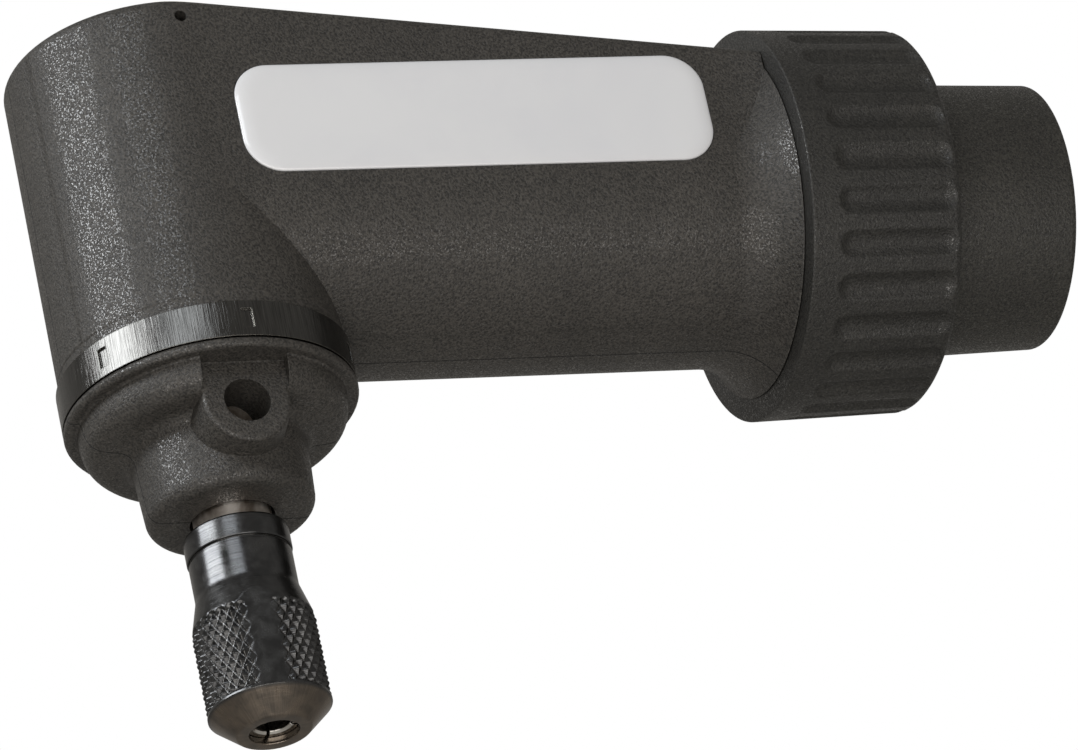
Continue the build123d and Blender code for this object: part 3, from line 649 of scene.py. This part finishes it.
def make_knurling():
    """Diamond knurl pressed into a turned grip, and the two flats milled across it."""
    tree, given, wanted = group_tree(
        "knurling", "GeometryNodeTree",
        [("Geometry", "NodeSocketGeometry", None), ("Starts", "NodeSocketInt", 40),
         ("Pitch", "NodeSocketFloat", 0.8 * MM), ("Depth", "NodeSocketFloat", 0.2 * MM),
         ("Top radius", "NodeSocketFloat", 5 * MM), ("Foot", "NodeSocketFloat", 0.0),
         ("Flat half", "NodeSocketFloat", 5 * MM), ("Flat turn", "NodeSocketFloat", 0.0),
         ("Flat foot", "NodeSocketFloat", 0.0), ("Material", "NodeSocketMaterial", None)],
        [("Geometry", "NodeSocketGeometry")])
    place = vertex_parts(tree)
    side = maths(tree, "SUBTRACT", place["X"], OUTPUT_X)
    outward = build(tree, "ShaderNodeCombineXYZ", {"X": side, "Y": place["Y"]}).outputs["Vector"]
    radius = vector_maths(tree, "LENGTH", outward)
    turn = maths(tree, "DIVIDE", maths(tree, "ARCTAN2", place["Y"], side), 2 * pi)
    turns = maths(tree, "MULTIPLY", turn, given["Starts"])
    rise = maths(tree, "DIVIDE", place["Z"], given["Pitch"])
    ridges = [maths(tree, "MULTIPLY", maths(tree, "PINGPONG", maths(tree, way, turns, rise), 0.5), 2.0)
              for way in ("ADD", "SUBTRACT")]
    crest = maths(tree, "MULTIPLY", maths(tree, "MINIMUM", *ridges), KNURL_CREST)
    point_height = maths(tree, "MINIMUM", crest, 1.0)
    full_radius = maths(tree, "ADD", given["Top radius"], 0.1 * MM)
    full_height = maths(tree, "ADD", given["Foot"], 0.25 * MM)
    on_grip = maths(tree, "MULTIPLY", smooth_step(tree, radius, given["Top radius"], full_radius),
                    smooth_step(tree, place["Z"], given["Foot"], full_height))
    sunk = maths(tree, "MULTIPLY", maths(tree, "SUBTRACT", point_height, 1.0), given["Depth"])
    pressed = moved_along(tree, given["Geometry"], vector_maths(tree, "NORMALIZE", outward),
                          maths(tree, "MULTIPLY", sunk, on_grip))
    place = vertex_parts(tree)
    side = maths(tree, "SUBTRACT", place["X"], OUTPUT_X)
    across = (maths(tree, "SINE", given["Flat turn"]), maths(tree, "COSINE", given["Flat turn"]))
    depth = maths(tree, "ADD", maths(tree, "MULTIPLY", side, across[0]),
                  maths(tree, "MULTIPLY", place["Y"], across[1]))
    excess = maths(tree, "SUBTRACT", maths(tree, "ABSOLUTE", depth), given["Flat half"])
    beyond = maths(tree, "MAXIMUM", excess, 0.0)
    back = maths(tree, "MULTIPLY", maths(tree, "MULTIPLY", beyond, maths(tree, "SIGN", depth)), -1.0)
    back = maths(tree, "MULTIPLY", back, maths(tree, "GREATER_THAN", place["Z"], given["Flat foot"]))
    direction = build(tree, "ShaderNodeCombineXYZ", {"X": across[0], "Y": across[1]}).outputs["Vector"]
    milled = moved_along(tree, pressed, direction, back)
    finish_geometry(tree, milled, given, wanted)
    return tree


def make_fluting():
    """Long round-ended flutes pressed into the outside of a ring about the input axis."""
    tree, given, wanted = group_tree(
        "fluting", "GeometryNodeTree",
        [("Geometry", "NodeSocketGeometry", None), ("Flutes", "NodeSocketInt", 28),
         ("Width", "NodeSocketFloat", 2 * MM), ("Depth", "NodeSocketFloat", 0.5 * MM),
         ("From", "NodeSocketFloat", 0.0), ("To", "NodeSocketFloat", 10 * MM),
         ("Turn", "NodeSocketFloat", 0.0), ("Outside", "NodeSocketFloat", 10 * MM),
         ("Material", "NodeSocketMaterial", None)],
        [("Geometry", "NodeSocketGeometry")])
    place = vertex_parts(tree)
    outward = build(tree, "ShaderNodeCombineXYZ", {"Y": place["Y"], "Z": place["Z"]}).outputs["Vector"]
    radius = vector_maths(tree, "LENGTH", outward)
    angle = maths(tree, "ADD", maths(tree, "ARCTAN2", place["Z"], place["Y"]), given["Turn"])
    half_spacing = maths(tree, "DIVIDE", maths(tree, "DIVIDE", 2 * pi, given["Flutes"]), 2)
    aside = maths(tree, "MULTIPLY", radius, maths(tree, "PINGPONG", angle, half_spacing))
    half_width = maths(tree, "DIVIDE", given["Width"], 2)
    middle = maths(tree, "DIVIDE", maths(tree, "ADD", given["From"], given["To"]), 2)
    half_length = maths(tree, "DIVIDE", maths(tree, "SUBTRACT", given["To"], given["From"]), 2)
    straight = maths(tree, "SUBTRACT", half_length, half_width)
    from_middle = maths(tree, "ABSOLUTE", maths(tree, "SUBTRACT", place["X"], middle))
    beyond = maths(tree, "MAXIMUM", maths(tree, "SUBTRACT", from_middle, straight), 0.0)
    squares = [maths(tree, "MULTIPLY", length, length) for length in (aside, beyond)]
    share = maths(tree, "DIVIDE", maths(tree, "SQRT", maths(tree, "ADD", *squares)), half_width)
    hollow = maths(tree, "SUBTRACT", 1.0, maths(tree, "MULTIPLY", share, share))
    hollow = maths(tree, "SMOOTH_MAX", hollow, 0.0, FLUTE_RIM_BLEND)
    hollow = maths(tree, "MULTIPLY", hollow, maths(tree, "GREATER_THAN", radius, given["Outside"]))
    sunk = maths(tree, "MULTIPLY", hollow, maths(tree, "MULTIPLY", given["Depth"], -1.0))
    pressed = moved_along(tree, given["Geometry"], vector_maths(tree, "NORMALIZE", outward), sunk)
    finish_geometry(tree, pressed, given, wanted)
    return tree


def make_coupling_ring():
    """The coupling ring: an inward lip behind the casing's collar, and a ring of long flutes."""
    corners = [
        (RING_LIP_BORE, RING_START, RING_EDGE), (RING_RADIUS, RING_START, RING_FRONT_EDGE),
        (RING_RADIUS - RING_TAPER, RING_END, RING_BACK_EDGE), (RING_BORE, RING_END, RING_EDGE),
        (RING_BORE, RING_START + RING_LIP, 0), (RING_LIP_BORE, RING_START + RING_LIP, 0)]
    path = divided(rounded_path(corners), RING_MESH_STEP, lambda point: point.x > RING_SKIN_RADIUS)
    ring = turned_piece("fluted_ring", path, FLUTES * FLUTE_SEGMENTS, "input")
    grow(ring, make_fluting(), Flutes=FLUTES, Width=FLUTE_WIDTH, Depth=FLUTE_DEPTH,
         From=FLUTE_FROM, To=FLUTE_TO, Turn=FLUTE_TURN, Outside=FLUTED_OUTSIDE, Material=ring_black)
    smooth_faces(ring, 40)
    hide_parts("coupling_ring")
    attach(ring, "ring")


def make_collet_nut():
    """The collet nut with its knurled grip and two flats."""
    corners = [
        (NUT_BORE, NUT_TOP, 0), (NUT_COLLAR_RADIUS, NUT_TOP, 2 * NUT_EDGE),
        (NUT_COLLAR_RADIUS, NUT_COLLAR_FOOT, NUT_EDGE), (NUT_GROOVE_RADIUS, NUT_COLLAR_FOOT, 0),
        (NUT_GROOVE_RADIUS, NUT_GROOVE_FOOT, 0), (NUT_WAIST_RADIUS, NUT_GROOVE_FOOT, NUT_EDGE / 2),
        (NUT_WAIST_RADIUS, NUT_WAIST_FOOT, NUT_WAIST_BLEND), (NUT_GRIP_RADIUS, NUT_GRIP_TOP, NUT_GRIP_BLEND),
        (NUT_GRIP_RADIUS, NUT_FLAT_FOOT, 0), (NUT_GRIP_RADIUS, NUT_FLAT_FOOT - NUT_END_STEP, 0),
        (NUT_END_RADIUS, NUT_FOOT, NUT_END_EDGE), (NUT_MOUTH_RADIUS, NUT_FOOT, NUT_EDGE),
        (NUT_WEDGE_RADIUS, NUT_WEDGE_TOP, 0), (NUT_WEDGE_RADIUS, NUT_SHELF, 0), (NUT_BORE, NUT_SHELF, 0)]
    fine_foot = NUT_FLAT_FOOT - 0.05 * MM
    path = divided(rounded_path(corners), KNURL_MESH_STEP,
                   lambda point: fine_foot <= point.y <= NUT_WAIST_FOOT)
    nut = turned_piece("knurled_nut", path, KNURL_STARTS * KNURL_SEGMENTS)
    grow(nut, make_knurling(), Starts=KNURL_STARTS, Pitch=KNURL_PITCH, Depth=KNURL_DEPTH,
         Top_radius=NUT_GRIP_RADIUS - KNURL_MARGIN, Foot=NUT_GRIP_FOOT, Flat_half=NUT_FLAT_HALF,
         Flat_turn=NUT_FLAT_TURN, Flat_foot=NUT_FLAT_FOOT - NUT_END_STEP / 2, Material=black_oxide())
    smooth_faces(nut, 28)
    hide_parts("collet_nut")
    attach(nut, "nut")


def make_collet():
    """The split collet, drawn a little way up into the nut, with its four jaws apart."""
    head = [(COLLET_BORE, COLLET_SLIT_TOP), (COLLET_RADIUS, COLLET_SLIT_TOP),
            (COLLET_RADIUS, COLLET_SHOULDER), (COLLET_HEAD_RADIUS, COLLET_SHOULDER),
            (COLLET_HEAD_RADIUS, NUT_WEDGE_TOP), (COLLET_NOSE_RADIUS, COLLET_FOOT),
            (COLLET_BORE + COLLET_CHAMFER, COLLET_FOOT), (COLLET_BORE, COLLET_FOOT + COLLET_CHAMFER)]
    half_slit = COLLET_SLIT / 2 / COLLET_RADIUS
    jaw_angle = 2 * pi / COLLET_JAWS
    steps, count = 14, len(head)
    points, faces = [], []
    for jaw in range(COLLET_JAWS):
        first = len(points)
        low, high = jaw * jaw_angle + half_slit, (jaw + 1) * jaw_angle - half_slit
        for step in range(steps + 1):
            angle = low + (high - low) * step / steps
            points += [(OUTPUT_X + r * cos(angle), r * sin(angle), z) for r, z in head]
        faces.append(tuple(range(first, first + count)))
        faces.append(tuple(reversed(range(first + steps * count, first + (steps + 1) * count))))
        for step in range(steps):
            row = first + step * count
            for index in range(count):
                here, following = row + index, row + (index + 1) % count
                faces.append((following, here, here + count, following + count))
    collet = add_piece("split_collet", points, faces)
    stem_corners = ((COLLET_BORE, COLLET_TOP), (COLLET_BORE, COLLET_SLIT_TOP),
                    (COLLET_RADIUS, COLLET_SLIT_TOP), (COLLET_RADIUS, COLLET_TOP))
    stem = turned_piece("stem", [Vector(corner) for corner in stem_corners], COLLET_JAWS * steps)
    join_into(collet, stem)
    finish_surface(collet, collet_steel)
    smooth_faces(collet, 30)
    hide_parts("collet")
    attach(collet, "output")


def rounded_rectangle(half_length, half_height, corner, steps):
    """Points round a rectangle with round corners, anticlockwise as seen from the front."""
    points = []
    for quarter, (side_x, side_z) in enumerate(((1, 1), (-1, 1), (-1, -1), (1, -1))):
        for step in range(steps + 1):
            angle = pi / 2 * (quarter + step / steps)
            points.append((side_x * (half_length - corner) + corner * cos(angle),
                           side_z * (half_height - corner) + corner * sin(angle)))
    return points


def make_badge():
    """The badge: a flat plate under clear resin that swells in from its edge."""
    steps, shoulder_steps = 14, 12
    loops = [(0.0, 0.0), (0.0, BADGE_WALL)]
    loops += [(BADGE_SHOULDER * (1 - cos(pi / 2 * step / shoulder_steps)),
               BADGE_WALL + BADGE_DOME * sin(pi / 2 * step / shoulder_steps))
              for step in range(1, shoulder_steps + 1)]
    points = []
    for inset, rise in loops:
        outline = rounded_rectangle(BADGE_HALF[0] - inset, BADGE_HALF[1] - inset, BADGE_CORNER - inset, steps)
        points += [(BADGE_CENTRE[0] + x, BADGE_FLOOR - rise, BADGE_CENTRE[1] + z) for x, z in outline]
    count = len(points) // len(loops)
    faces = [tuple(reversed(range(count))), tuple(range((len(loops) - 1) * count, len(loops) * count))]
    for loop in range(len(loops) - 1):
        for index in range(count):
            following = (index + 1) % count
            faces.append((loop * count + index, loop * count + following,
                          (loop + 1) * count + following, (loop + 1) * count + index))
    badge = add_piece("badge_dome", points, faces)
    finish_surface(badge, badge_resin())
    smooth_faces(badge, 40)
    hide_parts("badge")
    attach(badge, "head")


def make_screw_thread():
    """A thread's ridge: a triangle carried along a helix."""
    tree, given, wanted = group_tree(
        "screw_thread", "GeometryNodeTree",
        [("Geometry", "NodeSocketGeometry", None), ("Radius", "NodeSocketFloat", 9 * MM),
         ("Depth", "NodeSocketFloat", 0.6 * MM), ("Pitch", "NodeSocketFloat", 2 * MM),
         ("Length", "NodeSocketFloat", 9 * MM), ("Material", "NodeSocketMaterial", None)],
        [("Geometry", "NodeSocketGeometry")])
    turns = maths(tree, "DIVIDE", given["Length"], given["Pitch"])
    helix = build(tree, "GeometryNodeCurveSpiral", {
        "Resolution": 96, "Rotations": turns, "Start Radius": given["Radius"], "End Radius": given["Radius"],
        "Height": given["Length"]})
    triangle = build(tree, "GeometryNodeCurvePrimitiveCircle",
                     {"Resolution": 3, "Radius": maths(tree, "MULTIPLY", given["Depth"], 2 / 3)})
    ridge = build(tree, "GeometryNodeCurveToMesh", {
        "Curve": helix.outputs["Curve"], "Profile Curve": triangle.outputs["Curve"], "Fill Caps": True})
    back = maths(tree, "MULTIPLY", given["Length"], -THREAD_REACH)
    start = build(tree, "ShaderNodeCombineXYZ", {"X": back}).outputs["Vector"]
    lying = build(tree, "GeometryNodeTransform", {
        "Geometry": ridge.outputs["Mesh"], "Rotation": (0, pi / 2, 0), "Translation": start})
    finish_geometry(tree, lying.outputs["Geometry"], given, wanted)
    return tree


def make_sleeve_thread():
    """The thread inside the sleeve's mouth."""
    thread = add_piece("sleeve_thread", [], [])
    grow(thread, make_screw_thread(), Radius=THREAD_RADIUS, Depth=THREAD_DEPTH, Pitch=THREAD_PITCH,
         Length=THREAD_LENGTH, Material=sleeve_black)
    smooth_faces(thread, 30)
    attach(thread, "sleeve")


make_coupling_ring()
make_collet_nut()
make_collet()
make_badge()
make_sleeve_thread()


# Light, floor and camera

FLOOR_HEIGHT = -1.2
CAMERA_PLACE = Vector((-0.303403, -0.641884, -0.371788))
CAMERA_RIGHT = Vector((0.944871, -0.266559, -0.190169))
CAMERA_UP = Vector((0.034584, -0.496282, 0.867472))
CAMERA_LENS = 290.6
STUDIO_TINT = (1.0, 0.96, 0.9, 1)
STUDIO_STRENGTH = 0.3
COOL_LIGHT = (0.95, 0.975, 1.0)
BLUER_LIGHT = (0.9, 0.95, 1.0)
WARM_LIGHT = (1.0, 0.96, 0.92)
OBJECT_MIDDLE = Vector((-0.047, 0, -0.015))


def add_camera():
    data = bpy.data.cameras.new("camera")
    data.lens = CAMERA_LENS
    data.sensor_width = 36
    data.clip_start = 0.05
    data.clip_end = 20
    camera = bpy.data.objects.new("camera", data)
    bpy.context.scene.collection.objects.link(camera)
    back = CAMERA_RIGHT.cross(CAMERA_UP)
    turn = Matrix((CAMERA_RIGHT, CAMERA_UP, back)).transposed().to_4x4()
    camera.matrix_world = Matrix.Translation(CAMERA_PLACE) @ turn
    bpy.context.scene.camera = camera


def add_softbox(name, azimuth, elevation, distance, width, height, power, colour):
    """A soft light that looks at the object. Azimuth is measured from +X towards +Y."""
    data = bpy.data.lights.new(name, "AREA")
    data.shape = "RECTANGLE"
    data.size = width
    data.size_y = height
    data.energy = power
    data.color = colour
    lamp = bpy.data.objects.new(name, data)
    bpy.context.scene.collection.objects.link(lamp)
    away = Vector((cos(radians(azimuth)) * cos(radians(elevation)),
                   sin(radians(azimuth)) * cos(radians(elevation)), sin(radians(elevation))))
    lamp.location = OBJECT_MIDDLE + away * distance
    lamp.rotation_mode = "QUATERNION"
    lamp.rotation_quaternion = away.to_track_quat("Z", "Y")
    lamp.visible_camera = False


def add_floor():
    mesh = bpy.data.meshes.new("floor")
    reach = 6.0
    mesh.from_pydata([(-reach, -reach, FLOOR_HEIGHT), (reach, -reach, FLOOR_HEIGHT),
                      (reach, reach, FLOOR_HEIGHT), (-reach, reach, FLOOR_HEIGHT)], [], [(0, 1, 2, 3)])
    floor = bpy.data.objects.new("floor", mesh)
    bpy.context.scene.collection.objects.link(floor)
    material, tree, shader, place = begin_material("pale_floor", 0.8)
    tone = use_group(tree, uneven_tone, Vector=place, Patch_size=0.8)["Tone"]
    feed(tree, shader.inputs["Base Color"], blend_colours(tree, tone, (0.78, 0.78, 0.77), (0.82, 0.82, 0.81)))
    finish_surface(floor, material)


def add_world():
    """A pale studio: white behind the object, and softer where it lights it."""
    world = bpy.data.worlds.new("studio")
    bpy.context.scene.world = world
    world.use_nodes = True
    tree = world.node_tree
    tree.nodes.clear()
    seen = build(tree, "ShaderNodeBackground", {"Color": (1, 1, 1, 1), "Strength": 1.0})
    lighting = build(tree, "ShaderNodeBackground", {"Color": STUDIO_TINT, "Strength": STUDIO_STRENGTH})
    path = build(tree, "ShaderNodeLightPath")
    mixed = build(tree, "ShaderNodeMixShader", {
        0: path.outputs["Is Camera Ray"], 1: lighting.outputs["Background"], 2: seen.outputs["Background"]})
    out = tree.nodes.new("ShaderNodeOutputWorld")
    tree.links.new(mixed.outputs["Shader"], out.inputs["Surface"])


add_camera()
add_world()
add_floor()
add_softbox("left_strip", azimuth=189, elevation=27, distance=0.6,
            width=0.36, height=0.16, power=2.2, colour=COOL_LIGHT)
add_softbox("strip_tail", azimuth=240, elevation=27, distance=0.6,
            width=0.26, height=0.16, power=0.55, colour=BLUER_LIGHT)
add_softbox("front_fill", azimuth=-108, elevation=-42, distance=1.5,
            width=2.0, height=1.4, power=24.0, colour=WARM_LIGHT)
bpy.context.scene.view_settings.view_transform = "Standard"
